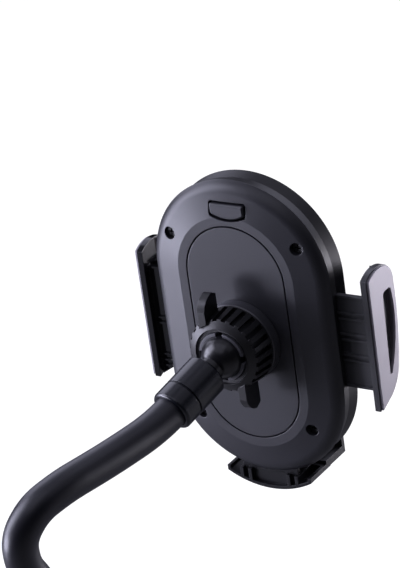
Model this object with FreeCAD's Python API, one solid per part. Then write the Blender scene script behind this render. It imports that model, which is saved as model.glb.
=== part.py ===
import FreeCAD, Part
import math
import os

Vector = FreeCAD.Vector

# Cup holder mount for a hand-held device: an expanding base that grips a cup holder, a bent
# gooseneck, a ball joint with a winged collar, and a clamp head with two sliding jaws.
# Millimetres. The origin is at the middle of the base's underside, +Z is up, and the held
# device looks along -Y. Head pieces are drawn in a frame of their own: y counts rearwards from
# the plane that the device's back rests on, z counts from the middle of the head.

# Cutting and joining
over = 1.0                   # how far a cutting tool passes the surface it cuts
bite = 0.5                   # how far joined blocks run into each other
seat_clearance = 0.1         # between pieces that are set in place and stay there

# Place of the head over the base
head_x = -30.0
head_y = -66.0
head_z = 295.25

# Clamp head shell, a stadium in plan
end_centre = 18.5            # from the middle to the centre of each round end
cover_radius = 31.0          # rear cover at the parting line
shoulder_radius = 27.2       # where the rim turns down to the parting line
shoulder_drop = 1.4          # shoulder below the flat back
dish_radius = 20.5           # outline of the flat back
back_y = 14.0                # flat back of the cover
parting_y = 9.5
shell_wall = 1.6
parting_step = 0.5           # housing stands back from the cover's edge by this much
pad_thickness = 1.2          # soft pad on the front
pad_margin = 1.8             # housing edge left bare around the pad
floor_thickness = 1.2
front_radius = 30.6          # front housing at the pad
waist_radius = 30.0
waist_y = 5.5

# Inset panel in the rear cover
panel_radius = 17.0
panel_groove = 0.5
panel_thickness = 2.0
ledge_width = 2.2
ledge_thickness = 1.2

# Cover screws
upper_screw_x = 22.5
upper_screw_z = 30.7
lower_screw_x = 20.0
lower_screw_z = -30.6
screw_radius = 1.0
screw_length = 7.0
screw_head_radius = 1.75
screw_head_height = 1.3
counterbore_radius = 2.0
screw_seat_y = 10.4
screw_clearance = 0.2
thread_clearance = 0.02
screw_hole_spare = 0.3       # hole past the screw's end
recess_half = 1.1            # cross recess of the screw head
recess_width = 0.5
recess_depth = 0.7
boss_radius = 3.0

# Sliding arms and their jaws
arm_height = 31.0
arm_centre_z = -2.0
layer_thickness = 1.7        # each arm's plate inside the head
layer_gap = 0.2
arm_clearance = 0.2
arm_reach = 23.0             # plate past the middle of the head
jaw_inner_x = 39.1
jaw_thickness = 2.0
trim_thickness = 0.8
jaw_low_z = -24.6            # rear edge of the jaw, lower and upper end
jaw_top_z = 19.0
jaw_crown_y = 1.0            # highest point of the domed upper edge
jaw_crown_z = 20.9
jaw_peak_y = -6.2            # front end of the upper edge
jaw_peak_z = 19.4
jaw_brow_y = -8.7            # front edge: upper end, middle and lower end
jaw_brow_z = 13.3
jaw_nose_y = -8.6
jaw_nose_z = 1.0
jaw_chin_y = -6.3
jaw_chin_z = -14.0
jaw_toe_y = 0.5              # where the lower edge starts to run straight
jaw_toe_z = -22.3
jaw_round = 0.12             # swell of the corners between those points, share of their length
lip_inner_x = 34.4
lip_y = -7.8
grip_x = 35.75               # face of the jaw pad, half the held width
jaw_pad_thickness = 1.7
jaw_pad_length = 24.0
jaw_pad_centre_z = 1.0
jaw_pad_front_y = -6.2
jaw_pad_back_y = -0.3
pad_rib_count = 7
pad_rib_depth = 0.5
slot_top_z = 12.2            # long opening in the jaw's outer face
slot_low_z = -14.9
slot_back_top_y = -1.4
slot_back_low_y = -0.5
slot_front_top_y = -6.1
slot_front_low_y = -1.7
slot_nose_y = -6.2
slot_nose_z = -3.0
slot_depth = 2.0
rib_pitch = 7.05             # pairs of ribs on the left arm
rib_centre_z = -0.5
rib_width = 0.7
rib_offset = 0.95            # each rib from the middle of its pair
panel_depth = 0.6            # arm's face between the ribs
panel_inner_x = 16.0
right_rib_z = -5.2           # pair of ribs on the right arm
gusset_rib_z = -20.2         # pair of ribs on the right arm's gusset
gusset_x = 35.4
gusset_low_z = -21.8
pocket_inner_x = 26.0
pocket_outer_x = 32.6
pocket_low_z = -6.0
pocket_height = 3.6
pocket_depth = 1.2
window_inner_x = 20.0        # rack window, towards the far end of the plate
window_outer_x = 11.0        # rack window, towards the jaw
slot_corner = 1.4
trim_inset = 0.35
carrier_margin = 0.4
jaw_pad_corner = 0.7
pad_rib_gap = 1.2

# Pinion that keeps the arms in step
gear_module = 1.0
pinion_teeth = 10
pressure_angle = math.radians(20.0)
pinion_addendum = 0.8
pinion_dedendum = 1.1
rack_addendum = 0.55
rack_dedendum = 1.0
backlash = 0.12
post_radius = 1.5
running_clearance = 0.05
pinion_hub_radius = 2.6
gear_plate_thickness = 1.2
gear_plate_half_width = 12.0
gear_plate_ear = 5.5
gear_plate_post_z = 3.2      # posts stand this far beyond the arms
gear_plate_bridge = 10.5     # half height of the bridge over the pinion
plate_post_radius = 2.5
spring_strip = 0.5
spring_pitch = 1.05
spring_half_turns = 6
spring_height = 1.1
anchor_radius = 1.0

# Release button and latch
button_half_width = 6.6      # opening
button_low_z = 39.1
button_low_bulge = 1.6
button_top_z = 43.6
button_gap = 0.6
button_flange = 1.2
opening_corner = 0.9
button_corner = 0.6
flange_drop = 0.6            # flange below the cover's inner face
flange_thickness = 1.0
stem_half_width = 2.0
stem_low = 1.2
stem_height = 2.0
button_proud = 0.1
button_bevel = 0.5
latch_half_width = 4.0
latch_thickness = 1.6
latch_pivot_z = 27.0
latch_pin_radius = 1.2
latch_top_z = 43.2
latch_gap = 0.3
latch_tooth_half = 0.7
latch_tooth_tip = 0.3
latch_tooth_length = 1.8
latch_tooth_gap = 0.15
latch_overlap = 2.2          # lever over the notched edge of the arm
cheek_thickness = 2.4
cheek_half_height = 2.4
cheek_rise = 0.6
leaf_thickness = 0.4
leaf_half_width = 1.5
leaf_start = 5.0             # leaf spring from the latch's pivot
leaf_end = 2.0               # leaf spring from the latch's top
ratchet_pitch = 2.0
ratchet_depth = 0.8
ratchet_teeth = 9
ratchet_slope = 0.8          # part of the pitch that a notch's slope takes up

# Foot under the held device
foot_half_width = 15.2
foot_rear_y = 10.7
foot_low_z = -55.8           # middle of the arched underside
foot_corner_z = -51.7        # underside at both corners
shelf_z = -48.9
shelf_thickness = 2.6
foot_lip_y = -9.6
foot_lip_thickness = 1.6
foot_lip_height = 3.9
tongue_half_width = 10.0
tongue_thickness = 1.3
tongue_top_z = -14.0
foot_rib_x = (7.0, 10.0)
foot_rib_width = 1.2
foot_pocket_depth = 1.3
foot_gap = 0.5               # under the head
foot_toe_y = -2.0            # where the swept underside meets the shelf
foot_sweep = 0.4
foot_edge = 1.1              # rim left round the pockets
foot_well_y = 2.0            # front wall of the wells at both ends
tongue_corner = 1.5
sole_thickness = 0.8
sole_margin = 2.0
sole_corner = 1.0

# Ball joint
ball_y = 25.5
ball_z = -1.75
ball_radius = 7.0
liner_thickness = 0.95
socket_wall = 1.6
flange_radius = 13.0
flange_height = 3.8
spigot_radius = 6.9
retainer_radius = 9.6
retainer_thickness = 1.6
retainer_gap = 3.0
spigot_spare = 0.4
flange_edge = 0.5
cup_rise = 0.3               # cup's rim past the ball's middle
collar_rear_radius = 12.9
collar_front_radius = 12.1
collar_length = 9.2
collar_nose = 1.5            # height of the sloping front face
collar_mouth_radius = 9.25
collar_step = 0.8
collar_draft = 0.25
knurl_count = 24
knurl_width = 1.6
knurl_depth = 1.0
knurl_start = 0.4
knurl_run_out = 0.25
wing_thickness = 2.7
wing_offset = 5.5            # the wing stands beside the collar's axis by this much
wing_setback = 0.2           # wing's front edge behind the collar's front
wing_front_z = 14.0          # where the front edge starts to lean back
wing_lean_back = 1.7
wing_lean_z = 16.9
wing_tip_back = 5.3          # tip behind the collar's front, front and rear corner
wing_tip_z = 18.7
wing_heel_back = 7.6
wing_heel_z = 17.6
wing_sink = 1.2              # wing's root in the collar
liner_slits = 4
slit_width = 2.4
liner_rear = 0.7             # share of the ball's radius behind its middle

# Neck ferrule and gooseneck
neck_droop = 17.94           # degrees below the socket's axis
neck_swing = 12.39           # degrees to the side
neck_radius = 4.0
ferrule_radius = 6.9
ferrule_start = 8.3
ferrule_seam = 19.5
ferrule_end = 26.1
ferrule_seat = 15.5          # the sleeve's end inside the ferrule
sleeve_radius = 5.4
core_radius = 3.5
hose_clearance = 0.1
seam_groove = 0.35
ferrule_chamfer = 0.8
band_round = 1.0
first_bend = 33.0            # from the ball's centre to the gooseneck's first bend
bend_share = 0.45            # part of the shorter run that a bend takes up

# Base that spreads in the cup holder
sole_radius = 29.0
sole_height = 2.5
base_disc_radius = 31.0
base_disc_height = 3.5
hub_radius = 11.0
spindle_radius = 10.0
rail_width = 5.0
rail_height = 2.0
rail_inner = 13.0
rail_outer = 29.0
leg_count = 3
leg_angle = 104.0
leg_inner_radius = 15.0
leg_wall = 2.6
leg_height = 68.0
leg_travel = 10.0
leg_clearance = 0.3
leg_rib_inset = 2.0
grip_radius = 36.0
grip_thickness = 2.6
grip_margin = 3.0
grip_groove = 1.2
grip_groove_count = 7
leg_pin_radius = 2.0
leg_pin_circle = 20.0
guide_thickness = 2.0
guide_radius = 33.0
scroll_thickness = 3.0
scroll_radius = 34.4
scroll_turn = 120.0          # degrees of dial for the full travel
pin_clearance = 0.1
scroll_steps = 12
dial_radius = 37.0
dial_wall = 2.2
dial_side = 19.0
dial_crown = 6.0
dial_top_radius = 20.0
dial_swell = 3.5
dial_hub_wall = 4.0
dial_skirt = 2.5
dial_ridges = 36
dial_ridge_width = 2.4
dial_ridge_depth = 0.9
dial_clearance = 0.3
socket_flange_radius = 16.0
lower_ferrule_radius = 8.2
lower_ferrule_height = 24.0
lower_ferrule_flange = 3.0
lower_ferrule_sweep = 7.0
lower_ferrule_chamfer = 1.0

# Values that follow from the sizes above
head_place = Vector(head_x, head_y, head_z)
housing_y = pad_thickness
floor_y = housing_y + floor_thickness
front_layer_y = floor_y + arm_clearance
rear_layer_y = front_layer_y + layer_thickness + layer_gap
arm_rear_y = rear_layer_y + layer_thickness
plate_y = arm_rear_y + arm_clearance + seat_clearance
plate_top_y = plate_y + gear_plate_thickness
tongue_y = plate_top_y + arm_clearance + seat_clearance
hub_top_y = plate_top_y + spring_height + 2 * arm_clearance
pitch_radius = gear_module * pinion_teeth / 2
jaw_face_x = jaw_inner_x + jaw_thickness
latch_y = plate_y + seat_clearance
latch_rear_y = latch_y + latch_thickness
liner_radius = ball_radius + running_clearance + liner_thickness
cup_radius = liner_radius + running_clearance
thread_radius = cup_radius + socket_wall
collar_y = back_y + flange_height + 2 * running_clearance
collar_front_y = collar_y + collar_length
ball_centre = head_place + Vector(0, ball_y, ball_z)
neck_axis = Vector(
    math.cos(math.radians(neck_droop)) * math.sin(math.radians(neck_swing)),
    math.cos(math.radians(neck_droop)) * math.cos(math.radians(neck_swing)),
    -math.sin(math.radians(neck_droop)),
)
leg_outer_radius = grip_radius - grip_thickness
disc_top = sole_height + base_disc_height
leg_bottom = disc_top + leg_clearance
leg_top = leg_bottom + leg_height
guide_z = leg_top + leg_clearance
scroll_z = guide_z + guide_thickness + leg_clearance
dial_z = scroll_z + scroll_thickness
dial_top = dial_z + dial_side - scroll_thickness + dial_crown
socket_z = dial_top + dial_clearance
hose_z = socket_z + lower_ferrule_height / 2

# Route of the gooseneck from the neck ferrule to the base
route = [
    ball_centre + neck_axis * ferrule_seat,
    ball_centre + neck_axis * first_bend,
    Vector(-19.4, 9.0, 282.3),
    Vector(-14.8, 28.0, 281.9),
    Vector(-11.0, 38.0, 279.2),
    Vector(-7.6, 43.3, 271.6),
    Vector(-6.6, 42.2, 261.8),
    Vector(-5.8, 34.8, 250.6),
    Vector(-2.8, 26.0, 232.0),
    Vector(-1.6, 15.5, 208.0),
    Vector(-0.6, 6.5, 180.0),
    Vector(0.0, 0.0, 146.0),
    Vector(0.0, 0.0, hose_z),
]


def block(x0, x1, y0, y1, z0, z1):
    """Box between two corners."""
    return Part.makeBox(x1 - x0, y1 - y0, z1 - z0, Vector(x0, y0, z0))


def peg(radius, x, z, y0, y1):
    """Cylinder along Y in the head's frame."""
    return Part.makeCylinder(radius, y1 - y0, Vector(x, y0, z), Vector(0, 1, 0))


def face_of(points, to_space):
    """Face from a closed outline: a point ends a straight edge, a pair of points ends an arc."""
    first = to_space(*points[0])
    here = first
    edges = []
    for step in points[1:]:
        if isinstance(step[0], tuple):
            end = to_space(*step[1])
            edges.append(Part.Arc(here, to_space(*step[0]), end).toShape())
        else:
            end = to_space(*step)
            edges.append(Part.makeLine(here, end))
        here = end
    if here.distanceToPoint(first) > 1e-6:
        edges.append(Part.makeLine(here, first))
    return Part.Face(Part.Wire(edges))


def stadium(section):
    """Solid with the head's plan: a half section (radius, y) turned at both ends, straight between."""
    half = face_of(section, lambda r, y: Vector(r, y, end_centre))
    upper = half.revolve(Vector(0, 0, end_centre), Vector(0, -1, 0), 180)
    lower = upper.mirror(Vector(), Vector(0, 0, 1))
    side = half.extrude(Vector(0, 0, -2 * end_centre))
    return upper.fuse([lower, side, side.mirror(Vector(), Vector(1, 0, 0))]).removeSplitter()


def stadium_plate(radius, y0, y1):
    """Flat plate with the head's plan."""
    return stadium([(0, y0), (radius, y0), (radius, y1), (0, y1)])


def turned_y(section, z):
    """Solid turned about the line along Y at height z in the head's frame."""
    return face_of(section, lambda r, y: Vector(r, y, z)).revolve(Vector(0, 0, z), Vector(0, 1, 0), 360)


def turned_z(section):
    """Solid turned about the base's axis."""
    return face_of(section, lambda r, z: Vector(r, 0, z)).revolve(Vector(), Vector(0, 0, 1), 360)


def prism_yz(points, x0, x1):
    """Outline in the YZ plane drawn out along X."""
    return face_of(points, lambda y, z: Vector(x0, y, z)).extrude(Vector(x1 - x0, 0, 0))


def prism_xz(points, y0, y1):
    """Outline in the XZ plane drawn out along Y."""
    return face_of(points, lambda x, z: Vector(x, y0, z)).extrude(Vector(0, y1 - y0, 0))


def edges_along(shape, direction):
    """Straight edges of a solid that run along a direction."""
    found = []
    for edge in shape.Edges:
        if isinstance(edge.Curve, Part.Line) or isinstance(edge.Curve, Part.LineSegment):
            tangent = edge.tangentAt(edge.FirstParameter)
            if abs(tangent.dot(direction)) > 0.999:
                found.append(edge)
    return found


def on_head(shape):
    """Move a piece from the head's frame to its place over the base."""
    return shape.translated(head_place)


def on_neck(shape):
    """Turn a piece drawn along +Z from the ball's centre into the neck's direction."""
    turned = shape.copy()
    turned.Placement = FreeCAD.Placement(ball_centre, FreeCAD.Rotation(Vector(0, 0, 1), neck_axis))
    return turned


def mirrored_x(shape):
    """Copy of a piece on the head's other side."""
    return shape.mirror(Vector(), Vector(1, 0, 0))


# Head shell


def screw_places():
    """Plan places of the four cover screws."""
    places = []
    for side in (-1, 1):
        places.append((side * upper_screw_x, upper_screw_z))
        places.append((side * lower_screw_x, lower_screw_z))
    return places


def cover_rim(inset):
    """Edge of the rear cover: an arc from the parting line that runs smoothly into the back's slope."""
    shoulder = Vector(shoulder_radius, back_y - shoulder_drop, 0)
    edge = Vector(cover_radius, parting_y, 0)
    slope = (shoulder - Vector(dish_radius, back_y, 0)).normalize()
    inward = Vector(slope.y, -slope.x, 0)
    chord = edge - shoulder
    radius = chord.Length ** 2 / (2 * chord.dot(inward))
    centre = shoulder + inward * radius
    start = shoulder + inward * inset
    end_r = centre.x + math.sqrt((radius - inset) ** 2 - (parting_y - centre.y) ** 2)
    middle = ((start + Vector(end_r, parting_y, 0)) * 0.5 - centre).normalize() * (radius - inset) + centre
    return [
        (end_r, parting_y),
        ((middle.x, middle.y), (start.x, start.y)),
        (dish_radius, back_y - inset),
    ]


def button_outline(gap):
    """Release button in plan: straight top, bulged lower edge."""
    half = button_half_width - gap
    low = button_low_z + gap
    top = button_top_z - gap
    return [(half, top), (-half, top), (-half, low), ((0, low - button_low_bulge), (half, low))]


def rear_cover():
    """Shell with a pillow rim, a ledge for the panel, screw seats and the button's opening."""
    block_out = stadium([(0, parting_y)] + cover_rim(0) + [(0, back_y)])
    ledge_y = back_y - panel_thickness - ledge_thickness
    ledge_r = panel_radius + panel_groove + shell_wall
    ledge = [(ledge_r, back_y - shell_wall), (ledge_r, ledge_y), (0, ledge_y)]
    cover = block_out.cut(stadium([(0, parting_y)] + cover_rim(shell_wall) + ledge))
    bosses = [peg(boss_radius, x, z, parting_y, back_y) for x, z in screw_places()]
    cover = cover.fuse([boss.common(block_out) for boss in bosses])
    cover = cover.cut(stadium_plate(panel_radius + panel_groove, back_y - panel_thickness, back_y + over))
    cover = cover.cut(stadium_plate(panel_radius - ledge_width, parting_y - over, back_y))
    for x, z in screw_places():
        cover = cover.cut(peg(counterbore_radius, x, z, screw_seat_y, back_y + over))
        cover = cover.cut(peg(screw_radius + screw_clearance, x, z, parting_y - over, back_y))
    opening = prism_xz(button_outline(0), parting_y, back_y + over)
    opening = opening.makeFillet(opening_corner, edges_along(opening, Vector(0, 1, 0)))
    return cover.cut(opening).removeSplitter()


def rear_panel():
    """Panel set into the rear cover, with the round hole that the socket turns in."""
    panel = stadium_plate(panel_radius, back_y - panel_thickness, back_y)
    return panel.cut(peg(spigot_radius + running_clearance, 0, ball_z, parting_y, back_y + over))


def housing_section(inset, bottom_y):
    """Half section of the front housing, drawn inwards by a wall."""
    return [
        (0, bottom_y),
        (front_radius - inset, bottom_y),
        (waist_radius - inset, waist_y),
        (cover_radius - parting_step - inset, parting_y),
        (0, parting_y),
    ]


def front_housing():
    """Tapered shell with arm slots, screw posts, the pinion's post and the latch's cheeks."""
    housing = stadium(housing_section(0, housing_y)).cut(stadium(housing_section(shell_wall, floor_y)))
    posts = [peg(boss_radius, x, z, floor_y, parting_y) for x, z in screw_places()]
    posts.append(peg(post_radius, 0, arm_centre_z, floor_y, hub_top_y - arm_clearance))
    for x, z in plate_posts():
        posts.append(peg(plate_post_radius, x, z, floor_y, plate_y))
    cheek_x = latch_half_width + arm_clearance
    cheek = block(
        cheek_x, cheek_x + cheek_thickness,
        floor_y, latch_rear_y + cheek_rise,
        latch_pivot_z - cheek_half_height, latch_pivot_z + cheek_half_height,
    )
    housing = housing.fuse(posts + [cheek, mirrored_x(cheek)])
    half = arm_height / 2 + arm_clearance
    for layer_y, side in ((front_layer_y, 1), (rear_layer_y, -1)):
        slot = block(
            waist_radius - 2 * shell_wall, cover_radius,
            layer_y - arm_clearance, layer_y + layer_thickness + arm_clearance,
            arm_centre_z - half, arm_centre_z + half,
        )
        housing = housing.cut(slot if side > 0 else mirrored_x(slot))
    reach = tongue_half_width + arm_clearance
    tongue_slot = block(
        -reach, reach,
        tongue_y - arm_clearance, parting_y + over,
        -end_centre - cover_radius, -end_centre - shoulder_radius + 4 * shell_wall,
    )
    housing = housing.cut(tongue_slot)
    for x, z in screw_places():
        hole_end = screw_seat_y - screw_length - screw_hole_spare
        housing = housing.cut(peg(screw_radius + thread_clearance, x, z, hole_end, parting_y + over))
    pin_place = Vector(-2 * latch_half_width, latch_y + latch_thickness / 2, latch_pivot_z)
    pin_hole = Part.makeCylinder(
        latch_pin_radius + running_clearance, 4 * latch_half_width, pin_place, Vector(1, 0, 0)
    )
    return housing.cut(pin_hole).removeSplitter()


def front_pad():
    """Soft pad that the device's back rests on."""
    return stadium_plate(front_radius - pad_margin, 0, pad_thickness)


def cover_screws():
    """Four cross-recessed screws."""
    screws = []
    head_y = screw_seat_y + screw_head_height
    recess_y = head_y - recess_depth
    half = recess_width / 2
    for x, z in screw_places():
        shank = peg(screw_radius, x, z, screw_seat_y - screw_length, screw_seat_y)
        head = peg(screw_head_radius, x, z, screw_seat_y, head_y)
        cross = block(x - recess_half, x + recess_half, recess_y, head_y + over, z - half, z + half)
        upright = block(x - half, x + half, recess_y, head_y + over, z - recess_half, z + recess_half)
        screws.append(shank.fuse(head).cut(cross).cut(upright))
    return Part.makeCompound(screws)


# Arms, jaws and the pinion


def rack_window():
    """Window of the arm's plate, with rack teeth on its upper edge, about the pinion's centre."""
    pitch = math.pi * gear_module
    slope = math.tan(pressure_angle)
    root_z = pitch_radius + rack_dedendum
    tip_z = pitch_radius - rack_addendum
    root_half = pitch / 4 + rack_dedendum * slope - backlash / 2
    tip_half = pitch / 4 - rack_addendum * slope - backlash / 2
    low_z = -(pitch_radius + pinion_addendum + bite)
    outline = [(-window_inner_x, low_z), (window_outer_x, low_z), (window_outer_x, root_z)]
    last = int((window_outer_x - root_half) / pitch - 0.5)
    first = -int((window_inner_x - root_half) / pitch - 0.5) - 1
    for tooth in range(last, first - 1, -1):
        middle = (tooth + 0.5) * pitch
        outline.append((middle + root_half, root_z))
        outline.append((middle + tip_half, tip_z))
        outline.append((middle - tip_half, tip_z))
        outline.append((middle - root_half, root_z))
    outline.append((-window_inner_x, root_z))
    return outline


def arm_plate():
    """Sliding plate of the right arm, about the pinion's centre, in the front layer."""
    half = arm_height / 2
    rear = front_layer_y + layer_thickness
    plate = block(-arm_reach, jaw_inner_x + bite, front_layer_y, rear, -half, half)
    return plate.cut(prism_xz(rack_window(), front_layer_y - over, arm_rear_y))


def sunk_panels(plate, rear_y, pair_places):
    """Sink an arm's rear face between its edges and its pairs of ribs."""
    half = rib_width / 2
    stops = [arm_centre_z - arm_height / 2 + rib_width]
    for place in pair_places:
        for rib_z in (place - rib_offset, place + rib_offset):
            stops += [rib_z - half, rib_z + half]
    stops.append(arm_centre_z + arm_height / 2 - rib_width)
    for z0, z1 in zip(stops[0::2], stops[1::2]):
        plate = plate.cut(block(panel_inner_x, jaw_inner_x, rear_y - panel_depth, rear_y + over, z0, z1))
    return plate


def swell(a, b):
    """Arc step of an outline in the YZ plane from a to b, bulging away from the jaw's middle."""
    middle = Vector((a[0] + b[0]) / 2, (a[1] + b[1]) / 2, 0)
    outward = Vector(b[1] - a[1], a[0] - b[0], 0) * jaw_round
    if outward.dot(middle) < 0:
        outward = outward * -1
    middle = middle + outward
    return ((middle.x, middle.y), b)


def jaw_outline():
    """Jaw from the side: straight rear edge, broad upper end, bulged front edge, slanted lower edge."""
    peak = (jaw_peak_y, jaw_peak_z)
    brow = (jaw_brow_y, jaw_brow_z)
    chin = (jaw_chin_y, jaw_chin_z)
    toe = (jaw_toe_y, jaw_toe_z)
    return [
        (arm_rear_y, jaw_low_z),
        (arm_rear_y, jaw_top_z),
        ((jaw_crown_y, jaw_crown_z), peak),
        swell(peak, brow),
        ((jaw_nose_y, jaw_nose_z), chin),
        swell(chin, toe),
    ]


def jaw_plate(x0, x1, inset):
    """Plate with the jaw's outline."""
    plate = prism_yz(jaw_outline(), x0, x1)
    if inset:
        plate = face_at(plate, x0).makeOffset2D(-inset).extrude(Vector(x1 - x0, 0, 0))
    return plate


def face_at(shape, x):
    """Flat face of a plate that lies at x."""
    for face in shape.Faces:
        box = face.BoundBox
        if abs(box.XMin - x) < 1e-6 and box.XLength < 1e-6:
            return face
    return None


def jaw_slot(x0, x1):
    """Long opening in the jaw's outer face."""
    outline = [
        (slot_back_low_y, slot_low_z),
        (slot_back_top_y, slot_top_z),
        (slot_front_top_y, slot_top_z),
        ((slot_nose_y, slot_nose_z), (slot_front_low_y, slot_low_z)),
    ]
    slot = prism_yz(outline, x0, x1)
    upper = [e for e in edges_along(slot, Vector(1, 0, 0)) if e.BoundBox.ZMax > slot_nose_z]
    return slot.makeFillet(slot_corner, upper)


def jaw():
    """Outer end of the right arm: jaw plate, pad carrier and front lip."""
    joint_x = jaw_inner_x + bite
    plate = jaw_plate(jaw_inner_x, jaw_face_x, 0)
    lip = jaw_plate(lip_inner_x, joint_x, 0)
    lip_front_y = 2 * jaw_brow_y
    lip = lip.common(block(lip_inner_x, joint_x, lip_front_y, lip_y, jaw_low_z, jaw_crown_z))
    carrier_half = jaw_pad_length / 2 + carrier_margin
    carrier = block(
        grip_x + jaw_pad_thickness, joint_x,
        jaw_pad_front_y - carrier_margin / 2, jaw_pad_back_y + carrier_margin,
        jaw_pad_centre_z - carrier_half, jaw_pad_centre_z + carrier_half,
    )
    whole = plate.fuse([lip, carrier])
    return whole.cut(jaw_slot(jaw_face_x + trim_thickness - slot_depth, jaw_face_x + over))


def right_arm():
    """The plate lies in the front layer, with a pair of ribs and a ribbed gusset below it."""
    rear = front_layer_y + layer_thickness
    plate = arm_plate().translated(Vector(0, 0, arm_centre_z))
    plate = sunk_panels(plate, rear, [right_rib_z])
    joint_x = jaw_inner_x + bite
    upper_z = arm_centre_z - arm_height / 2 + bite
    outline = [(gusset_x, upper_z), (gusset_x, gusset_low_z), (joint_x, jaw_low_z), (joint_x, upper_z)]
    extras = [prism_xz(outline, front_layer_y, rear - panel_depth)]
    half = rib_width / 2
    for z in (gusset_rib_z - rib_offset, gusset_rib_z + rib_offset):
        extras.append(block(gusset_x, joint_x, front_layer_y, rear, z - half, z + half))
    return jaw().fuse([plate] + extras).removeSplitter()


def left_arm():
    """The plate lies in the rear layer, turned half a turn, with rib pairs, a pocket and latch notches."""
    plate = arm_plate().mirror(Vector(), Vector(0, 0, 1))
    plate = plate.translated(Vector(0, rear_layer_y - front_layer_y, arm_centre_z))
    plate = sunk_panels(plate, arm_rear_y, [rib_centre_z + step * rib_pitch for step in (-1, 0, 1)])
    plate = plate.cut(block(
        pocket_inner_x, pocket_outer_x,
        arm_rear_y - pocket_depth, arm_rear_y + over,
        pocket_low_z, pocket_low_z + pocket_height,
    ))
    arm = mirrored_x(jaw().fuse(plate))
    top = arm_centre_z + arm_height / 2
    reach = latch_overlap + arm_clearance
    for notch in range(ratchet_teeth):
        x = (notch - ratchet_teeth // 2) * ratchet_pitch
        outline = [
            (x, arm_rear_y + seat_clearance),
            (x, arm_rear_y - ratchet_depth),
            (x + ratchet_pitch * ratchet_slope, arm_rear_y + seat_clearance),
        ]
        tooth = face_of(outline, lambda a, b: Vector(a, b, top - reach)).extrude(Vector(0, 0, reach + over))
        arm = arm.cut(tooth)
    return arm.removeSplitter()


def jaw_trim():
    """Light plate on the jaw's outer face."""
    trim = jaw_plate(jaw_face_x, jaw_face_x + trim_thickness, trim_inset)
    return trim.cut(jaw_slot(jaw_face_x - over, jaw_face_x + trim_thickness + over))


def jaw_pad():
    """Soft pad on the jaw's inner face, with cross ribs."""
    low = jaw_pad_centre_z - jaw_pad_length / 2
    front = jaw_pad_front_y
    back = jaw_pad_back_y
    pad = block(grip_x, grip_x + jaw_pad_thickness, front, back, low, low + jaw_pad_length)
    pad = pad.makeFillet(jaw_pad_corner, edges_along(pad, Vector(1, 0, 0)))
    pitch = jaw_pad_length / (pad_rib_count + 1)
    half = pad_rib_gap / 2
    for rib in range(pad_rib_count):
        z = low + (rib + 1) * pitch
        groove = block(grip_x - over, grip_x + pad_rib_depth, front - over, back + over, z - half, z + half)
        pad = pad.cut(groove)
    return pad


def involute(angle):
    """Involute of a pressure angle."""
    return math.tan(angle) - angle


def pinion_outline():
    """Gear outline about its centre, with a tooth at the top."""
    base = pitch_radius * math.cos(pressure_angle)
    tip = pitch_radius + pinion_addendum
    root = pitch_radius - pinion_dedendum
    middle = (base + tip) / 2
    pitch_half = math.pi / (2 * pinion_teeth) - backlash / (4 * pitch_radius)

    def at(radius, angle):
        return (radius * math.sin(angle), radius * math.cos(angle))

    def half_angle(radius):
        swing = math.acos(min(1.0, base / radius))
        return pitch_half + involute(pressure_angle) - involute(swing)

    outline = []
    for tooth in range(pinion_teeth):
        centre = tooth * 2 * math.pi / pinion_teeth
        step = math.pi / pinion_teeth
        outline.append(at(root, centre - half_angle(base)) if not outline else
                       (at(root, centre - step), at(root, centre - half_angle(base))))
        outline.append(at(base, centre - half_angle(base)))
        outline.append((at(middle, centre - half_angle(middle)), at(tip, centre - half_angle(tip))))
        outline.append((at(tip, centre), at(tip, centre + half_angle(tip))))
        outline.append((at(middle, centre + half_angle(middle)), at(base, centre + half_angle(base))))
        outline.append(at(root, centre + half_angle(base)))
    outline.append((at(root, -math.pi / pinion_teeth), outline[0]))
    return outline


def sync_pinion():
    """Pinion on the housing's post, with a hub for the spring."""
    front = front_layer_y + seat_clearance
    gear = prism_xz(pinion_outline(), front, arm_rear_y - seat_clearance)
    gear = gear.fuse(peg(pinion_hub_radius, 0, 0, front, hub_top_y))
    gear = gear.cut(peg(post_radius + running_clearance, 0, 0, 0, hub_top_y + over))
    return gear.translated(Vector(0, 0, arm_centre_z)).removeSplitter()


def plate_posts():
    """Plan places of the posts that carry the gear plate, clear of both arms."""
    x = gear_plate_half_width - gear_plate_ear / 2
    reach = arm_height / 2 + gear_plate_post_z
    return [(side * x, arm_centre_z + end * reach) for side in (-1, 1) for end in (-1, 1)]


def gear_plate():
    """Plate that holds the arms and the pinion down, open in the middle for the latch."""
    half = gear_plate_half_width
    reach = arm_height / 2 + gear_plate_post_z + gear_plate_ear / 2
    plate = block(-half, half, plate_y, plate_top_y, arm_centre_z - reach, arm_centre_z + reach)
    inner = half - gear_plate_ear
    for end in (-1, 1):
        z0 = arm_centre_z + end * gear_plate_bridge
        z1 = arm_centre_z + end * (reach + over)
        gap = block(-inner, inner, plate_y - over, plate_top_y + over, min(z0, z1), max(z0, z1))
        plate = plate.cut(gap)
    plate = plate.cut(peg(pinion_hub_radius + running_clearance, 0, arm_centre_z, 0, back_y))
    anchor_y = plate_top_y + spring_height + arm_clearance
    return plate.fuse(peg(anchor_radius, spring_anchor_x(), arm_centre_z, plate_top_y, anchor_y))


def spring_radius(half_turn):
    """Mid-strip radius of the spiral spring, growing with each half turn."""
    return pinion_hub_radius + arm_clearance + spring_strip / 2 + half_turn * spring_pitch / 2


def spring_anchor_x():
    """Place of the post that the spring's outer end rests on."""
    return spring_radius(spring_half_turns) + spring_strip / 2 + anchor_radius


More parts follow.
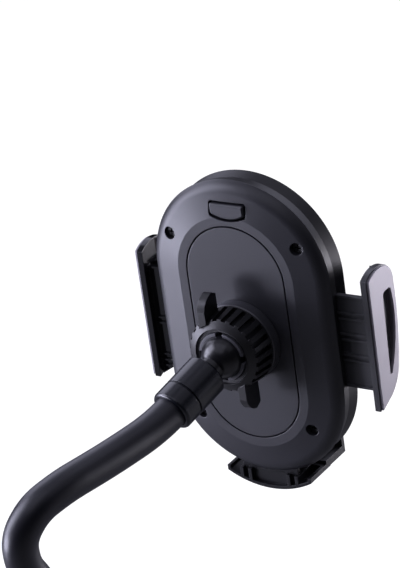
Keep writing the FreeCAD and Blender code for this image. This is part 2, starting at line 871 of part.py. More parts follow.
def spread_spring():
    """Flat spiral spring round the pinion's hub that drives the arms apart."""
    y0 = plate_top_y + arm_clearance / 2
    coils = []
    for turn in range(spring_half_turns):
        radius = spring_radius(turn) + spring_pitch / 4
        centre = -spring_pitch / 4 if turn % 2 == 0 else spring_pitch / 4
        side = 1 if turn % 2 == 0 else -1
        outer = radius + spring_strip / 2
        inner = radius - spring_strip / 2
        arc = [
            (centre - outer, 0),
            ((centre, side * outer), (centre + outer, 0)),
            (centre + inner, 0),
            ((centre, side * inner), (centre - inner, 0)),
        ]
        coils.append(prism_xz(arc, y0, y0 + spring_height))
    whole = coils[0].fuse(coils[1:])
    return whole.translated(Vector(0, 0, arm_centre_z)).removeSplitter()


# Release button and latch


def release_button():
    """Cap in the cover's opening, with a flange below it and a stem on the latch."""
    flange_y = back_y - shell_wall - shoulder_drop - flange_drop
    cap_y = back_y + button_proud
    cap = prism_xz(button_outline(button_gap), flange_y - bite, cap_y)
    cap = cap.makeFillet(button_corner, edges_along(cap, Vector(0, 1, 0)))
    cap = cap.makeChamfer(button_bevel, [e for e in cap.Edges if e.BoundBox.YMin > cap_y - over])
    flange = prism_xz(button_outline(-button_flange), flange_y - flange_thickness, flange_y)
    stem_z = button_low_z + stem_low
    stem = block(
        -stem_half_width, stem_half_width,
        latch_rear_y + latch_gap, flange_y,
        stem_z, stem_z + stem_height,
    )
    return cap.fuse([flange, stem]).removeSplitter()


def latch_lever():
    """Rocking lever between the button and the arms' notches."""
    low_z = arm_centre_z + arm_height / 2 - latch_overlap
    bar = block(-latch_half_width, latch_half_width, latch_y, latch_rear_y, low_z, latch_top_z)
    tip_y = arm_rear_y + latch_tooth_gap
    tooth = [
        (-latch_tooth_half, latch_y + seat_clearance), (latch_tooth_half, latch_y + seat_clearance),
        (latch_tooth_tip, tip_y), (-latch_tooth_tip, tip_y),
    ]
    tooth = face_of(tooth, lambda a, b: Vector(a, b, low_z)).extrude(Vector(0, 0, latch_tooth_length))
    side = Vector(1, 0, 0)
    pivot = Vector(0, latch_y + latch_thickness / 2, latch_pivot_z)
    pin_half = latch_half_width + cheek_thickness
    barrel = Part.makeCylinder(latch_thickness, 2 * latch_half_width, pivot - side * latch_half_width, side)
    pin = Part.makeCylinder(latch_pin_radius, 2 * pin_half, pivot - side * pin_half, side)
    return bar.fuse([tooth, barrel, pin]).removeSplitter()


def latch_spring():
    """Bent leaf between the housing's floor and the latch's upper end."""
    z0 = latch_pivot_z + leaf_start
    z1 = latch_top_z - leaf_end
    low = floor_y
    high = latch_y - seat_clearance
    thick = leaf_thickness
    outline = [
        (low, z0), (low, z1), (low + thick, z1), (low + thick, z0 + 8 * thick),
        (high - thick, z1 - 2 * thick), (high - thick, z1), (high, z1), (high, z1 - 3 * thick),
        (low + 2 * thick, z0 + 5 * thick), (low + 2 * thick, z0),
    ]
    return prism_yz(outline, -leaf_half_width, leaf_half_width)


# Foot


def arch(lift):
    """Region of the XZ plane above the foot's arched underside."""
    return [
        (-foot_half_width, foot_corner_z + lift),
        ((0, foot_low_z + lift), (foot_half_width, foot_corner_z + lift)),
        (foot_half_width, 0),
        (-foot_half_width, 0),
    ]


def foot_support():
    """Scoop under the device: tongue, ribbed rear wall, arched underside, shelf and front lip."""
    rear_top = -end_centre - cover_radius - foot_gap
    shelf_low = shelf_z - shelf_thickness
    lip_front = foot_lip_y - foot_lip_thickness
    lip_top = shelf_z + foot_lip_height
    heel_z = foot_low_z - over
    side = [
        (foot_rear_y, rear_top),
        (foot_rear_y, heel_z),
        ((foot_rear_y / 2, (heel_z + shelf_low) / 2 - foot_sweep), (foot_toe_y, shelf_low)),
        (lip_front, shelf_low),
        (lip_front, lip_top),
        (foot_lip_y, lip_top),
        (foot_lip_y, shelf_z),
        (pad_thickness - foot_gap, shelf_z),
        (pad_thickness - foot_gap, rear_top),
    ]
    swept = prism_yz(side, -foot_half_width, foot_half_width)
    foot = swept.common(prism_xz(arch(0), lip_front - over, foot_rear_y + over))
    rib_half = foot_rib_width / 2
    inner, outer = foot_rib_x
    shallow = foot_rear_y - foot_pocket_depth
    spans = [(rib_half - inner, inner - rib_half, shallow)]
    slots = (inner + rib_half, outer - rib_half, shallow)
    wells = (outer + rib_half, foot_half_width - foot_edge, foot_well_y)
    for a, b, front in (slots, wells):
        spans.append((a, b, front))
        spans.append((-b, -a, front))
    for a, b, front in spans:
        pocket = block(a, b, front, foot_rear_y + over, heel_z, rear_top + over)
        pocket = pocket.common(prism_xz(arch(foot_edge), front, foot_rear_y + over))
        foot = foot.cut(pocket.common(swept.translated(Vector(0, 0, foot_edge))))
    half = tongue_half_width
    tongue = block(-half, half, tongue_y, tongue_y + tongue_thickness, shelf_low, tongue_top_z)
    corners = [e for e in edges_along(tongue, Vector(0, 1, 0)) if e.BoundBox.ZMax > tongue_top_z - bite]
    return foot.fuse(tongue.makeFillet(tongue_corner, corners)).removeSplitter()


def foot_sole():
    """Soft strip on the shelf under the held device."""
    half = foot_half_width - sole_margin
    front = foot_lip_y + seat_clearance
    strip = block(-half, half, front, -foot_gap, shelf_z, shelf_z + sole_thickness)
    return strip.makeFillet(sole_corner, edges_along(strip, Vector(0, 0, 1)))


# Ball joint


def ball_ring(radius, y):
    """Radius of a sphere about the joint's centre where it crosses the plane y."""
    return math.sqrt(radius ** 2 - (y - ball_y) ** 2)


def socket_liner():
    """Slit spherical liner that grips the ball."""
    inner = ball_radius + running_clearance
    front = collar_front_y - seat_clearance
    rear = ball_y - liner_rear * ball_radius
    liner = turned_y([
        (ball_ring(inner, rear), rear),
        ((inner, ball_y), (ball_ring(inner, front), front)),
        (ball_ring(liner_radius, front), front),
        ((liner_radius, ball_y), (ball_ring(liner_radius, rear), rear)),
    ], ball_z)
    axis_point = Vector(0, 0, ball_z)
    for slit in range(liner_slits):
        cut = block(
            -slit_width / 2, slit_width / 2,
            ball_y - ball_radius / 3, front + over,
            ball_z, ball_z + 2 * ball_radius,
        )
        liner = liner.cut(cut.rotated(axis_point, Vector(0, 1, 0), slit * 360 / liner_slits))
    return liner


def ball_socket():
    """Flanged cup that the collar screws onto, with a spigot through the rear panel."""
    top = ball_y + cup_rise
    spigot_y = back_y - panel_thickness - retainer_thickness - spigot_spare
    bottom = ball_y - cup_radius
    side = ball_y - cup_radius * math.sqrt(0.5)
    return turned_y([
        (0, spigot_y),
        (spigot_radius, spigot_y),
        (spigot_radius, back_y + running_clearance),
        (flange_radius, back_y + running_clearance),
        (flange_radius, back_y + flange_height - flange_edge),
        (flange_radius - flange_edge, back_y + flange_height),
        (thread_radius, back_y + flange_height),
        (thread_radius, top),
        (ball_ring(cup_radius, top), top),
        ((ball_ring(cup_radius, side), side), (0, bottom)),
    ], ball_z)


def socket_retainer():
    """Snap ring on the spigot, behind the rear panel."""
    y1 = back_y - panel_thickness - running_clearance
    ring = peg(retainer_radius, 0, ball_z, y1 - retainer_thickness, y1)
    ring = ring.cut(peg(spigot_radius, 0, ball_z, 0, back_y))
    half = retainer_gap / 2
    return ring.cut(block(-half, half, 0, back_y, ball_z, ball_z + retainer_radius + over))


def wing():
    """Upper wing of the collar, from the side: upright front edge that curves back to a tip."""
    outline = [
        (collar_front_y - wing_setback, 0),
        (collar_front_y - wing_setback, wing_front_z),
        ((collar_front_y - wing_lean_back, wing_lean_z), (collar_front_y - wing_tip_back, wing_tip_z)),
        (collar_front_y - wing_heel_back, wing_heel_z),
        (collar_front_y - wing_heel_back, 0),
    ]
    fin = prism_yz(outline, wing_offset - wing_thickness / 2, wing_offset + wing_thickness / 2)
    root = collar_front_radius - wing_sink
    return fin.translated(Vector(0, 0, ball_z)).cut(peg(root, 0, ball_z, collar_y, collar_front_y))


def collar_nut():
    """Knurled clamping collar with two wings."""
    axis_point = Vector(0, 0, ball_z)
    axis = Vector(0, 1, 0)
    nose_y = collar_front_y - collar_nose
    bore = thread_radius + running_clearance
    lip_y0 = ball_y + cup_rise + 2 * running_clearance
    step_y = collar_front_y - collar_step
    lip_radius = cup_radius + running_clearance
    ring = turned_y([
        (bore, collar_y),
        (collar_rear_radius, collar_y),
        (collar_front_radius, nose_y),
        (collar_mouth_radius, collar_front_y),
        (collar_mouth_radius - collar_draft, step_y),
        (lip_radius, step_y),
        (lip_radius, lip_y0),
        (bore, lip_y0),
    ], ball_z)
    groove = block(
        -knurl_width / 2, knurl_width / 2,
        collar_y + knurl_start, nose_y + knurl_run_out,
        collar_front_radius - knurl_depth, collar_rear_radius + over,
    )
    groove = groove.translated(axis_point)
    for tooth in range(knurl_count):
        ring = ring.cut(groove.rotated(axis_point, axis, (tooth + 0.5) * 360 / knurl_count))
    wings = [wing().rotated(axis_point, axis, half_turn) for half_turn in (0, 180)]
    return ring.fuse(wings).removeSplitter()


def ball_stud():
    """Ball, neck and shank, drawn along +Z."""
    stud = Part.makeSphere(ball_radius).fuse(Part.makeCylinder(neck_radius, ferrule_seat))
    return on_neck(stud)


def neck_ferrule():
    """Sleeve between the ball stud and the gooseneck."""
    bore = neck_radius + running_clearance
    mouth = sleeve_radius + running_clearance
    return on_neck(turned_z([
        (bore, ferrule_start),
        (ferrule_radius - ferrule_chamfer, ferrule_start),
        (ferrule_radius, ferrule_start + ferrule_chamfer),
        (ferrule_radius, ferrule_seam),
        (mouth, ferrule_seam),
        (mouth, ferrule_seat),
        (bore, ferrule_seat),
    ]))


def ferrule_band():
    """Rounded end band of the ferrule, with a fine seam."""
    mouth = sleeve_radius + running_clearance
    bend = band_round * (1 - math.sqrt(0.5))
    return on_neck(turned_z([
        (mouth, ferrule_seam),
        (ferrule_radius - seam_groove, ferrule_seam),
        (ferrule_radius - seam_groove, ferrule_seam + seam_groove),
        (ferrule_radius, ferrule_seam + 2 * seam_groove),
        (ferrule_radius, ferrule_end - band_round),
        ((ferrule_radius - bend, ferrule_end - bend), (ferrule_radius - band_round, ferrule_end)),
        (mouth, ferrule_end),
    ]))


def hose(outer, inner):
    """Round hose along the route: straight runs joined by tangent arcs as large as the runs allow."""
    spans = []
    here = route[0]
    for before, corner, after in zip(route, route[1:], route[2:]):
        back = (before - corner).normalize()
        ahead = (after - corner).normalize()
        half_turn = (math.pi - back.getAngle(ahead)) / 2
        cut = bend_share * min(before.distanceToPoint(corner), after.distanceToPoint(corner))
        radius = cut / math.tan(half_turn)
        start = corner + back * cut
        centre = corner + (back + ahead).normalize() * (radius / math.cos(half_turn))
        spans.append(ring_face(outer, inner, here, start - here).extrude(start - here))
        bend = ring_face(outer, inner, start, back * -1)
        spans.append(bend.revolve(centre, ahead.cross(back), math.degrees(2 * half_turn)))
        here = corner + ahead * cut
    spans.append(ring_face(outer, inner, here, route[-1] - here).extrude(route[-1] - here))
    return spans[0].fuse(spans[1:]).removeSplitter()


def ring_face(outer, inner, place, normal):
    """Flat ring, or a disc where the inner radius is nothing."""
    disc = Part.Face(Part.Wire(Part.makeCircle(outer, place, normal)))
    if inner:
        disc = disc.cut(Part.Face(Part.Wire(Part.makeCircle(inner, place, normal)))).Faces[0]
    return disc


def gooseneck_sleeve():
    """Soft sleeve over the core."""
    return hose(sleeve_radius, core_radius + hose_clearance)


def gooseneck_core():
    """Bendable core that holds the neck's shape."""
    return hose(core_radius, 0)


# Base


def base_sole():
    """Rubber disc under the base."""
    return Part.makeCylinder(sole_radius, sole_height)


def base_core():
    """Bottom disc with leg rails, hub and spindle."""
    core = Part.makeCylinder(base_disc_radius, base_disc_height, Vector(0, 0, sole_height))
    core = core.fuse(Part.makeCylinder(hub_radius, guide_z - disc_top, Vector(0, 0, disc_top)))
    core = core.fuse(Part.makeCylinder(spindle_radius, socket_z - guide_z, Vector(0, 0, guide_z)))
    half = rail_width / 2
    rail = block(rail_inner, rail_outer, -half, half, disc_top, disc_top + rail_height)
    for leg_number in range(leg_count):
        core = core.fuse(rail.rotated(Vector(), Vector(0, 0, 1), leg_number * 360 / leg_count))
    return core.removeSplitter()


def sector(inner, outer, z0, z1, angle):
    """Ring sector about the base's axis, centred on +X."""
    half = math.radians(angle / 2)

    def at(radius, turn):
        return (radius * math.cos(turn), radius * math.sin(turn))

    outline = [
        at(inner, -half), at(outer, -half), (at(outer, 0), at(outer, half)), at(inner, half),
        (at(inner, 0), at(inner, -half)),
    ]
    return face_of(outline, lambda x, y: Vector(x, y, z0)).extrude(Vector(0, 0, z1 - z0))


def leg():
    """Spreading leg on +X: curved wall with end shelves, rail groove below and drive pin on top."""
    body = sector(leg_inner_radius, leg_outer_radius, leg_bottom, leg_top, leg_angle)
    hollow_z = leg_bottom + leg_wall + rail_height
    hollow_height = leg_top - leg_wall - hollow_z
    body = body.cut(Part.makeCylinder(leg_outer_radius - leg_wall, hollow_height, Vector(0, 0, hollow_z)))
    rib = block(
        leg_inner_radius + leg_rib_inset, leg_outer_radius - leg_wall / 2,
        -leg_wall / 2, leg_wall / 2,
        leg_bottom + bite, leg_top - bite,
    )
    rib_turn = leg_angle / 4
    ribs = [rib.rotated(Vector(), Vector(0, 0, 1), turn) for turn in (-rib_turn, rib_turn)]
    body = body.fuse(ribs)
    half = rail_width / 2 + 2 * running_clearance
    body = body.cut(block(0, leg_outer_radius, -half, half, 0, disc_top + rail_height + leg_clearance))
    pin_height = scroll_z + scroll_thickness - leg_top
    pin = Part.makeCylinder(leg_pin_radius, pin_height, Vector(leg_pin_circle, 0, leg_top - bite))
    return body.fuse(pin).removeSplitter()


def leg_pad():
    """Grooved rubber pad on the leg's outer wall."""
    low = leg_bottom + grip_margin
    high = leg_top - grip_margin
    pad = sector(leg_outer_radius, grip_radius, low, high, leg_angle)
    pitch = (high - low) / (grip_groove_count + 1)
    outside = grip_radius + over
    half = grip_groove + over
    for groove in range(grip_groove_count):
        z = low + (groove + 1) * pitch
        pad = pad.cut(turned_z([(grip_radius - grip_groove, z), (outside, z - half), (outside, z + half)]))
    return pad


def guide_plate():
    """Fixed plate with a radial slot for each leg's pin."""
    plate = Part.makeCylinder(guide_radius, guide_thickness, Vector(0, 0, guide_z))
    plate = plate.cut(Part.makeCylinder(spindle_radius, guide_thickness, Vector(0, 0, guide_z)))
    half = leg_pin_radius + pin_clearance
    low = guide_z - over
    height = guide_thickness + 2 * over
    far = leg_pin_circle + leg_travel
    slot = block(leg_pin_circle, far, -half, half, low, low + height)
    ends = [Part.makeCylinder(half, height, Vector(end, 0, low)) for end in (leg_pin_circle, far)]
    slot = slot.fuse(ends)
    for leg_number in range(leg_count):
        plate = plate.cut(slot.rotated(Vector(), Vector(0, 0, 1), leg_number * 360 / leg_count))
    return plate


def scroll_slot():
    """Spiral slot that carries a leg's pin outwards as the dial turns."""
    half = leg_pin_radius + pin_clearance
    turn = math.radians(scroll_turn)
    growth = leg_travel / turn
    low = scroll_z - over
    height = scroll_thickness + 2 * over

    def edge(offset):
        points = []
        for step in range(scroll_steps + 1):
            angle = turn * step / scroll_steps
            radius = leg_pin_circle + growth * angle
            lean = math.atan2(growth, radius)
            middle = Vector(radius * math.cos(angle), -radius * math.sin(angle), low)
            outward = Vector(math.cos(angle - lean), -math.sin(angle - lean), 0)
            points.append(middle + outward * offset)
        curve = Part.BSplineCurve()
        curve.interpolate(points)
        return curve.toShape(), points

    outer, outer_points = edge(half)
    inner, inner_points = edge(-half)
    far_end = Part.makeLine(outer_points[-1], inner_points[-1])
    near_end = Part.makeLine(inner_points[0], outer_points[0])
    outline = Part.Wire(Part.__sortEdges__([outer, far_end, inner, near_end]))
    slot = Part.Face(outline).extrude(Vector(0, 0, height))
    for angle, radius in ((0, leg_pin_circle), (-turn, leg_pin_circle + leg_travel)):
        place = Vector(radius * math.cos(angle), radius * math.sin(angle), low)
        slot = slot.fuse(Part.makeCylinder(half, height, place))
    return slot


def scroll_plate():
    """Driving plate under the dial."""
    plate = Part.makeCylinder(scroll_radius, scroll_thickness, Vector(0, 0, scroll_z))
    bore = spindle_radius + running_clearance
    plate = plate.cut(Part.makeCylinder(bore, scroll_thickness, Vector(0, 0, scroll_z)))
    slot = scroll_slot()
    for leg_number in range(leg_count):
        plate = plate.cut(slot.rotated(Vector(), Vector(0, 0, 1), leg_number * 360 / leg_count))
    return plate


def dial():
    """Ridged dial over the scroll plate."""
    inner = scroll_radius + seat_clearance
    bore = spindle_radius + running_clearance
    side_top = dial_top - dial_crown
    crown_r = (dial_radius + dial_top_radius) / 2 + dial_swell
    shell = turned_z([
        (inner, scroll_z),
        (dial_radius, scroll_z),
        (dial_radius, side_top),
        ((crown_r, side_top + dial_crown * 0.75), (dial_top_radius, dial_top)),
        (bore, dial_top),
        (bore, dial_z),
        (inner, dial_z),
    ])
    hub_r = spindle_radius + dial_hub_wall
    hollow_r = dial_radius - dial_wall - dial_ridge_depth
    ceiling = dial_top - dial_wall
    shell = shell.cut(turned_z([
        (hub_r, dial_z),
        (hollow_r, dial_z),
        (hollow_r, side_top - over),
        (dial_top_radius, ceiling),
        (hub_r, ceiling),
    ]))
    groove = block(
        dial_radius - dial_ridge_depth, dial_radius + over,
        -dial_ridge_width / 2, dial_ridge_width / 2,
        scroll_z + dial_skirt, side_top - over,
    )
    for ridge in range(dial_ridges):
        shell = shell.cut(groove.rotated(Vector(), Vector(0, 0, 1), ridge * 360 / dial_ridges))
    return shell


def lower_ferrule():
    """Socket on the spindle that holds the gooseneck's lower end."""
    mouth = sleeve_radius + running_clearance
    radius = lower_ferrule_radius
    chamfer = lower_ferrule_chamfer
    sweep = lower_ferrule_sweep
    top = socket_z + lower_ferrule_height
    flange_top = socket_z + lower_ferrule_flange
    return turned_z([
        (0, socket_z),
        (socket_flange_radius, socket_z),
        (socket_flange_radius, flange_top - chamfer),
        (socket_flange_radius - chamfer, flange_top),
        ((radius + sweep * 0.3, flange_top + sweep * 0.3), (radius, flange_top + sweep)),
        (radius, top - chamfer),
        (radius - chamfer, top),
        (mouth, top),
        (mouth, hose_z),
        (0, hose_z),
    ])


def build():
    """Every piece by its node name."""
    pieces = {
        "front_housing": on_head(front_housing()),
        "rear_cover": on_head(rear_cover()),
        "rear_panel": on_head(rear_panel()),
        "front_pad": on_head(front_pad()),
        "cover_screws": on_head(cover_screws()),
        "right_arm": on_head(right_arm()),
        "left_arm": on_head(left_arm()),
        "right_jaw_trim": on_head(jaw_trim()),
        "left_jaw_trim": on_head(mirrored_x(jaw_trim())),
        "right_jaw_pad": on_head(jaw_pad()),
        "left_jaw_pad": on_head(mirrored_x(jaw_pad())),
        "sync_pinion": on_head(sync_pinion()),
        "gear_plate": on_head(gear_plate()),
        "spread_spring": on_head(spread_spring()),
        "release_button": on_head(release_button()),
        "latch_lever": on_head(latch_lever()),
        "latch_spring": on_head(latch_spring()),
        "foot_support": on_head(foot_support()),
        "foot_sole": on_head(foot_sole()),
        "socket_liner": on_head(socket_liner()),
        "ball_socket": on_head(ball_socket()),
        "socket_retainer": on_head(socket_retainer()),
        "collar_nut": on_head(collar_nut()),
        "ball_stud": ball_stud(),
        "neck_ferrule": neck_ferrule(),
        "ferrule_band": ferrule_band(),
        "gooseneck_sleeve": gooseneck_sleeve(),
        "gooseneck_core": gooseneck_core(),
        "lower_ferrule": lower_ferrule(),
        "base_sole": base_sole(),
        "base_core": base_core(),
        "guide_plate": guide_plate(),
        "scroll_plate": scroll_plate(),
        "dial": dial(),
    }
    for number in range(leg_count):
        turn = number * 360 / leg_count
        pieces["leg_%d" % (number + 1)] = leg().rotated(Vector(), Vector(0, 0, 1), turn)
        pieces["leg_pad_%d" % (number + 1)] = leg_pad().rotated(Vector(), Vector(0, 0, 1), turn)
    return pieces


os.makedirs("parts", exist_ok=True)
for name, shape in build().items():
    shape.exportStep("parts/%s.step" % name)
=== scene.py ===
import math

import bpy
from mathutils import Matrix, Vector

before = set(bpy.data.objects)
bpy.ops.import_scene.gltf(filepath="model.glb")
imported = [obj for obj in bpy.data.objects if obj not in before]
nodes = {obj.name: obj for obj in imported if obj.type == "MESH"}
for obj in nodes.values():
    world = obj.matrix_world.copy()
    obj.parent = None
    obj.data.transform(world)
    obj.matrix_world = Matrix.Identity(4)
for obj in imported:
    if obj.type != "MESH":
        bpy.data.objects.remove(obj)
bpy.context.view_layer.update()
scene = bpy.context.scene


# Shared effects, with lengths in metres

grain_per_metre = 2500.0
patches_per_metre = 40.0
edge_radius = 0.0003
thin_edge = 0.0002
plastic_grain = 0.00002
rubber_grain = 0.00003
grain_strength = 0.5
tone_darker = 0.8
tone_lighter = 1.2


def new_group(name, inputs, outputs):
    """Empty shader group with named sockets; returns the group and its end nodes."""
    group = bpy.data.node_groups.new(name, "ShaderNodeTree")
    for label, kind, value in inputs:
        socket = group.interface.new_socket(label, in_out="INPUT", socket_type=kind)
        socket.default_value = value
    for label, kind in outputs:
        group.interface.new_socket(label, in_out="OUTPUT", socket_type=kind)
    entry = group.nodes.new("NodeGroupInput")
    leave = group.nodes.new("NodeGroupOutput")
    return group, entry, leave


def moulded_grain():
    """Fine moulded texture with a slow change of tone over the piece."""
    group, entry, leave = new_group(
        "moulded grain",
        [
            ("Grain per Metre", "NodeSocketFloat", grain_per_metre),
            ("Patches per Metre", "NodeSocketFloat", patches_per_metre),
        ],
        [("Height", "NodeSocketFloat"), ("Tone", "NodeSocketFloat")],
    )
    place = group.nodes.new("ShaderNodeTexCoord")
    grain = group.nodes.new("ShaderNodeTexNoise")
    grain.inputs["Detail"].default_value = 2.0
    patches = group.nodes.new("ShaderNodeTexNoise")
    patches.inputs["Detail"].default_value = 3.0
    link = group.links.new
    link(place.outputs["Object"], grain.inputs["Vector"])
    link(place.outputs["Object"], patches.inputs["Vector"])
    link(entry.outputs["Grain per Metre"], grain.inputs["Scale"])
    link(entry.outputs["Patches per Metre"], patches.inputs["Scale"])
    link(grain.outputs["Fac"], leave.inputs["Height"])
    link(patches.outputs["Fac"], leave.inputs["Tone"])
    return group


def rounded_edges():
    """Normal that rolls over sharp edges, as a moulded or turned edge does."""
    group, entry, leave = new_group(
        "rounded edges",
        [("Radius", "NodeSocketFloat", edge_radius)],
        [("Normal", "NodeSocketVector")],
    )
    bevel = group.nodes.new("ShaderNodeBevel")
    bevel.samples = 6
    group.links.new(entry.outputs["Radius"], bevel.inputs["Radius"])
    group.links.new(bevel.outputs["Normal"], leave.inputs["Normal"])
    return group


grain_group = moulded_grain()
edge_group = rounded_edges()


# Finishes


def finish_material(name, colour, roughness, metallic=0.0, edge=edge_radius, depth=0.0,
                    spread=0.06, specular=1.0):
    """Finish whose colour and roughness vary slowly, with softened edges.

    depth is the height of the moulded grain, and spread is how far the roughness varies.
    """
    material = bpy.data.materials.new(name)
    material.use_nodes = True
    tree = material.node_tree
    link = tree.links.new
    shader = tree.nodes["Principled BSDF"]
    shader.inputs["Metallic"].default_value = metallic
    shader.inputs["Specular IOR Level"].default_value = specular

    texture = tree.nodes.new("ShaderNodeGroup")
    texture.node_tree = grain_group
    texture.inputs["Grain per Metre"].default_value = grain_per_metre
    tint = tree.nodes.new("ShaderNodeMix")
    tint.data_type = "RGBA"
    darker, lighter = [socket for socket in tint.inputs if socket.type == "RGBA"]
    darker.default_value = (*[part * tone_darker for part in colour], 1.0)
    lighter.default_value = (*[part * tone_lighter for part in colour], 1.0)
    blend = [socket for socket in tint.outputs if socket.type == "RGBA"][0]
    link(texture.outputs["Tone"], tint.inputs["Factor"])
    link(blend, shader.inputs["Base Color"])
    rough = tree.nodes.new("ShaderNodeMapRange")
    rough.inputs["To Min"].default_value = roughness - spread
    rough.inputs["To Max"].default_value = roughness + spread
    link(texture.outputs["Tone"], rough.inputs["Value"])
    link(rough.outputs["Result"], shader.inputs["Roughness"])

    edges = tree.nodes.new("ShaderNodeGroup")
    edges.node_tree = edge_group
    edges.inputs["Radius"].default_value = edge
    if depth:
        bump = tree.nodes.new("ShaderNodeBump")
        bump.inputs["Distance"].default_value = depth
        bump.inputs["Strength"].default_value = grain_strength
        link(texture.outputs["Height"], bump.inputs["Height"])
        link(edges.outputs["Normal"], bump.inputs["Normal"])
        link(bump.outputs["Normal"], shader.inputs["Normal"])
    else:
        link(edges.outputs["Normal"], shader.inputs["Normal"])
    return material


finishes = {
    "cover_charcoal": finish_material(
        "cover charcoal", (0.034, 0.034, 0.042), 0.42, depth=plastic_grain),
    "housing_black": finish_material(
        "housing black", (0.016, 0.016, 0.018), 0.42, depth=plastic_grain, specular=0.4),
    "trim_grey": finish_material(
        "trim grey", (0.42, 0.40, 0.44), 0.40, metallic=0.2, specular=0.5),
    "pad_silicone": finish_material(
        "pad silicone", (0.048, 0.048, 0.052), 0.60, depth=rubber_grain),
    "collar_black": finish_material(
        "collar black", (0.014, 0.014, 0.016), 0.40, edge=thin_edge),
    "liner_nylon": finish_material(
        "liner nylon", (0.160, 0.160, 0.180), 0.35, edge=thin_edge),
    "ball_gloss": finish_material(
        "ball gloss", (0.014, 0.014, 0.018), 0.28, spread=0.02),
    "ferrule_black": finish_material(
        "ferrule black", (0.012, 0.014, 0.022), 0.26, spread=0.03),
    "sleeve_rubber": finish_material(
        "sleeve rubber", (0.014, 0.014, 0.024), 0.38, spread=0.04),
    "core_steel": finish_material(
        "core steel", (0.45, 0.45, 0.46), 0.35, metallic=1.0, specular=0.5),
    "base_plastic": finish_material(
        "base plastic", (0.028, 0.028, 0.034), 0.42, depth=plastic_grain),
    "base_rubber": finish_material(
        "base rubber", (0.032, 0.032, 0.036), 0.65, depth=rubber_grain),
}

worn_by = {
    "cover_charcoal": ["rear_cover", "rear_panel", "release_button", "ball_socket"],
    "housing_black": ["front_housing", "right_arm", "left_arm", "foot_support", "gear_plate",
                      "latch_lever", "socket_retainer"],
    "trim_grey": ["right_jaw_trim", "left_jaw_trim"],
    "pad_silicone": ["front_pad", "right_jaw_pad", "left_jaw_pad", "foot_sole"],
    "collar_black": ["collar_nut"],
    "liner_nylon": ["socket_liner", "sync_pinion"],
    "ball_gloss": ["ball_stud"],
    "ferrule_black": ["neck_ferrule", "ferrule_band", "lower_ferrule"],
    "sleeve_rubber": ["gooseneck_sleeve"],
    "core_steel": ["gooseneck_core", "cover_screws", "spread_spring", "latch_spring"],
    "base_plastic": ["base_core", "guide_plate", "scroll_plate", "dial", "leg_1", "leg_2", "leg_3"],
    "base_rubber": ["base_sole", "leg_pad_1", "leg_pad_2", "leg_pad_3"],
}
sharp_angle = math.radians(28.0)
for slot_name, names in worn_by.items():
    for name in names:
        mesh = nodes[name].data
        mesh.shade_smooth()
        mesh.set_sharp_from_angle(angle=sharp_angle)
        mesh.materials.clear()
        mesh.materials.append(finishes[slot_name])

# Pieces that look different from the rest of their slot; left_arm and ball_socket are painted
# lighter, as painted light
own_finish = {
    "cover_screws": finish_material(
        "blackened steel", (0.008, 0.008, 0.010), 0.45, edge=0.0001),
    "right_arm": finish_material(
        "jaw black", (0.012, 0.012, 0.014), 0.10, spread=0.02, specular=0.5),
    # left_arm: housing black painted lighter, painted light standing in for light that the lamps
    # leave off it in the head's shade
    "left_arm": finish_material(
        "arm black painted lighter", (0.110, 0.110, 0.117), 0.34, edge=0.0004, depth=plastic_grain),
    # ball_socket: cover charcoal painted lighter, painted light that offsets the collar's shadow on
    # the flange
    "ball_socket": finish_material(
        "socket charcoal painted lighter", (0.090, 0.090, 0.104), 0.42),
}
for name, finish in own_finish.items():
    nodes[name].data.materials[0] = finish


# Camera, solved from the photograph

camera_place = Vector((-0.507388, 0.638662, 0.695502))
ahead = Vector((0.52720, -0.74214, -0.41387))
up = Vector((0.11836, -0.41818, 0.90062))
sensor_mm = 36.0
focal_length_mm = 192.85

right = ahead.cross(up)
lens = bpy.data.cameras.new("camera")
lens.sensor_width = sensor_mm
lens.lens = focal_length_mm
camera = bpy.data.objects.new("camera", lens)
turn = Matrix((right, up, -ahead)).transposed().to_4x4()
camera.matrix_world = Matrix.Translation(camera_place) @ turn
scene.collection.objects.link(camera)
scene.camera = camera


# Lamps

clamp_head = Vector((-0.030, -0.050, 0.290))
lamp_distance = 0.8
cool = (0.80, 0.80, 1.0)
soft_white = (0.93, 0.90, 1.0)


def softbox(name, azimuth, elevation, power, side, colour=cool):
    """Square lamp that faces the clamp head, with its azimuth counted from +X towards +Y."""
    light = bpy.data.lights.new(name, "AREA")
    light.size = side
    light.energy = power
    light.color = colour
    lamp = bpy.data.objects.new(name, light)
    turn = math.radians(azimuth)
    rise = math.radians(elevation)
    level = math.cos(rise)
    away = Vector((math.cos(turn) * level, math.sin(turn) * level, math.sin(rise)))
    place = Matrix.Translation(clamp_head + away * lamp_distance)
    lamp.matrix_world = place @ away.to_track_quat("Z", "Y").to_matrix().to_4x4()
    scene.collection.objects.link(lamp)


# Name, azimuth and elevation in degrees, power in watts, side in metres
softbox("low key", 32.0, -18.0, 4.9, 0.4)
softbox("left fill", 20.0, 5.0, 2.1, 0.4)
softbox("upper left fill", 26.0, 30.0, 2.8, 0.5)
softbox("back left rim", -30.0, 30.0, 1.7, 0.6)
softbox("overhead left", 0.0, 60.0, 0.2, 0.7)
softbox("overhead rear", 90.0, 60.0, 0.65, 0.7)
softbox("overhead front", 270.0, 60.0, 0.45, 0.7)
softbox("overhead right", 180.0, 60.0, 0.25, 0.7)
softbox("right rim", 210.0, 5.0, 0.3, 0.4)
softbox("front fill", 264.0, 25.0, 1.6, 0.6)
softbox("front right", 232.0, -15.0, 4.7, 0.4, soft_white)


# Floor and world, white where the camera sees them, with the floor's glow dimmed near the object as
# painted shade

floor_half = 6.0
floor_colour = (0.2, 0.2, 0.2, 1.0)
sweep_from, sweep_to = 0.10, 0.45
shaded_glow_near, white_far = 0.78, 1.0
mirrored_share = 0.015
world_light = 0.0075


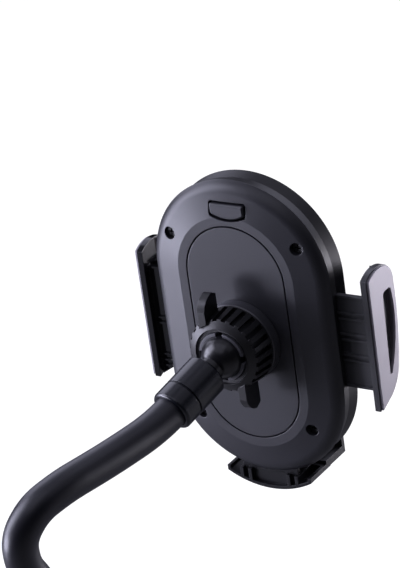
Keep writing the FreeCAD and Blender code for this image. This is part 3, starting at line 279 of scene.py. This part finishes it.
def rays_that_see_white(tree):
    """Light Path node, and a value that is 1 for camera and transmission rays."""
    ray = tree.nodes.new("ShaderNodeLightPath")
    clear = tree.nodes.new("ShaderNodeMath")
    clear.operation = "ADD"
    tree.links.new(ray.outputs["Is Camera Ray"], clear.inputs[0])
    tree.links.new(ray.outputs["Is Transmission Ray"], clear.inputs[1])
    return ray, clear.outputs["Value"]


def pale_floor_material():
    """Matt floor that takes the shadow, with a glow dimmed near the object as painted shade under
    it, rising to white away from it.
    """
    material = bpy.data.materials.new("pale floor")
    material.use_nodes = True
    tree = material.node_tree
    tree.nodes.clear()
    link = tree.links.new
    output = tree.nodes.new("ShaderNodeOutputMaterial")
    matt = tree.nodes.new("ShaderNodeBsdfDiffuse")
    matt.inputs["Color"].default_value = floor_colour
    glow = tree.nodes.new("ShaderNodeEmission")

    place = tree.nodes.new("ShaderNodeTexCoord")
    reach = tree.nodes.new("ShaderNodeVectorMath")
    reach.operation = "LENGTH"
    # The glow is dimmed near the object: painted shade on the floor under and around it
    sweep = tree.nodes.new("ShaderNodeMapRange")
    sweep.interpolation_type = "SMOOTHSTEP"
    sweep.inputs["From Min"].default_value = sweep_from
    sweep.inputs["From Max"].default_value = sweep_to
    sweep.inputs["To Min"].default_value = shaded_glow_near
    sweep.inputs["To Max"].default_value = white_far
    link(place.outputs["Object"], reach.inputs[0])
    link(reach.outputs["Value"], sweep.inputs["Value"])

    ray, clear = rays_that_see_white(tree)
    mirrored = tree.nodes.new("ShaderNodeMath")
    mirrored.operation = "MULTIPLY_ADD"
    mirrored.inputs[1].default_value = mirrored_share
    level = tree.nodes.new("ShaderNodeMath")
    level.operation = "MULTIPLY"
    link(ray.outputs["Is Glossy Ray"], mirrored.inputs[0])
    link(clear, mirrored.inputs[2])
    link(mirrored.outputs["Value"], level.inputs[0])
    link(sweep.outputs["Result"], level.inputs[1])
    link(level.outputs["Value"], glow.inputs["Strength"])

    total = tree.nodes.new("ShaderNodeAddShader")
    link(matt.outputs["BSDF"], total.inputs[0])
    link(glow.outputs["Emission"], total.inputs[1])
    link(total.outputs["Shader"], output.inputs["Surface"])
    return material


def studio_world():
    """Nearly dark room with a white background."""
    world = bpy.data.worlds.new("studio")
    world.use_nodes = True
    tree = world.node_tree
    sky = tree.nodes["Background"]
    sky.inputs["Color"].default_value = (1.0, 1.0, 1.0, 1.0)
    clear = rays_that_see_white(tree)[1]
    level = tree.nodes.new("ShaderNodeMapRange")
    level.inputs["To Min"].default_value = world_light
    level.inputs["To Max"].default_value = 1.0
    tree.links.new(clear, level.inputs["Value"])
    tree.links.new(level.outputs["Result"], sky.inputs["Strength"])
    return world


floor_mesh = bpy.data.meshes.new("floor")
floor_corners = [
    (-floor_half, -floor_half, 0.0),
    (floor_half, -floor_half, 0.0),
    (floor_half, floor_half, 0.0),
    (-floor_half, floor_half, 0.0),
]
floor_mesh.from_pydata(floor_corners, [], [(0, 1, 2, 3)])
floor_mesh.materials.append(pale_floor_material())
floor = bpy.data.objects.new("floor", floor_mesh)
scene.collection.objects.link(floor)
scene.world = studio_world()

scene.view_settings.view_transform = "Standard"
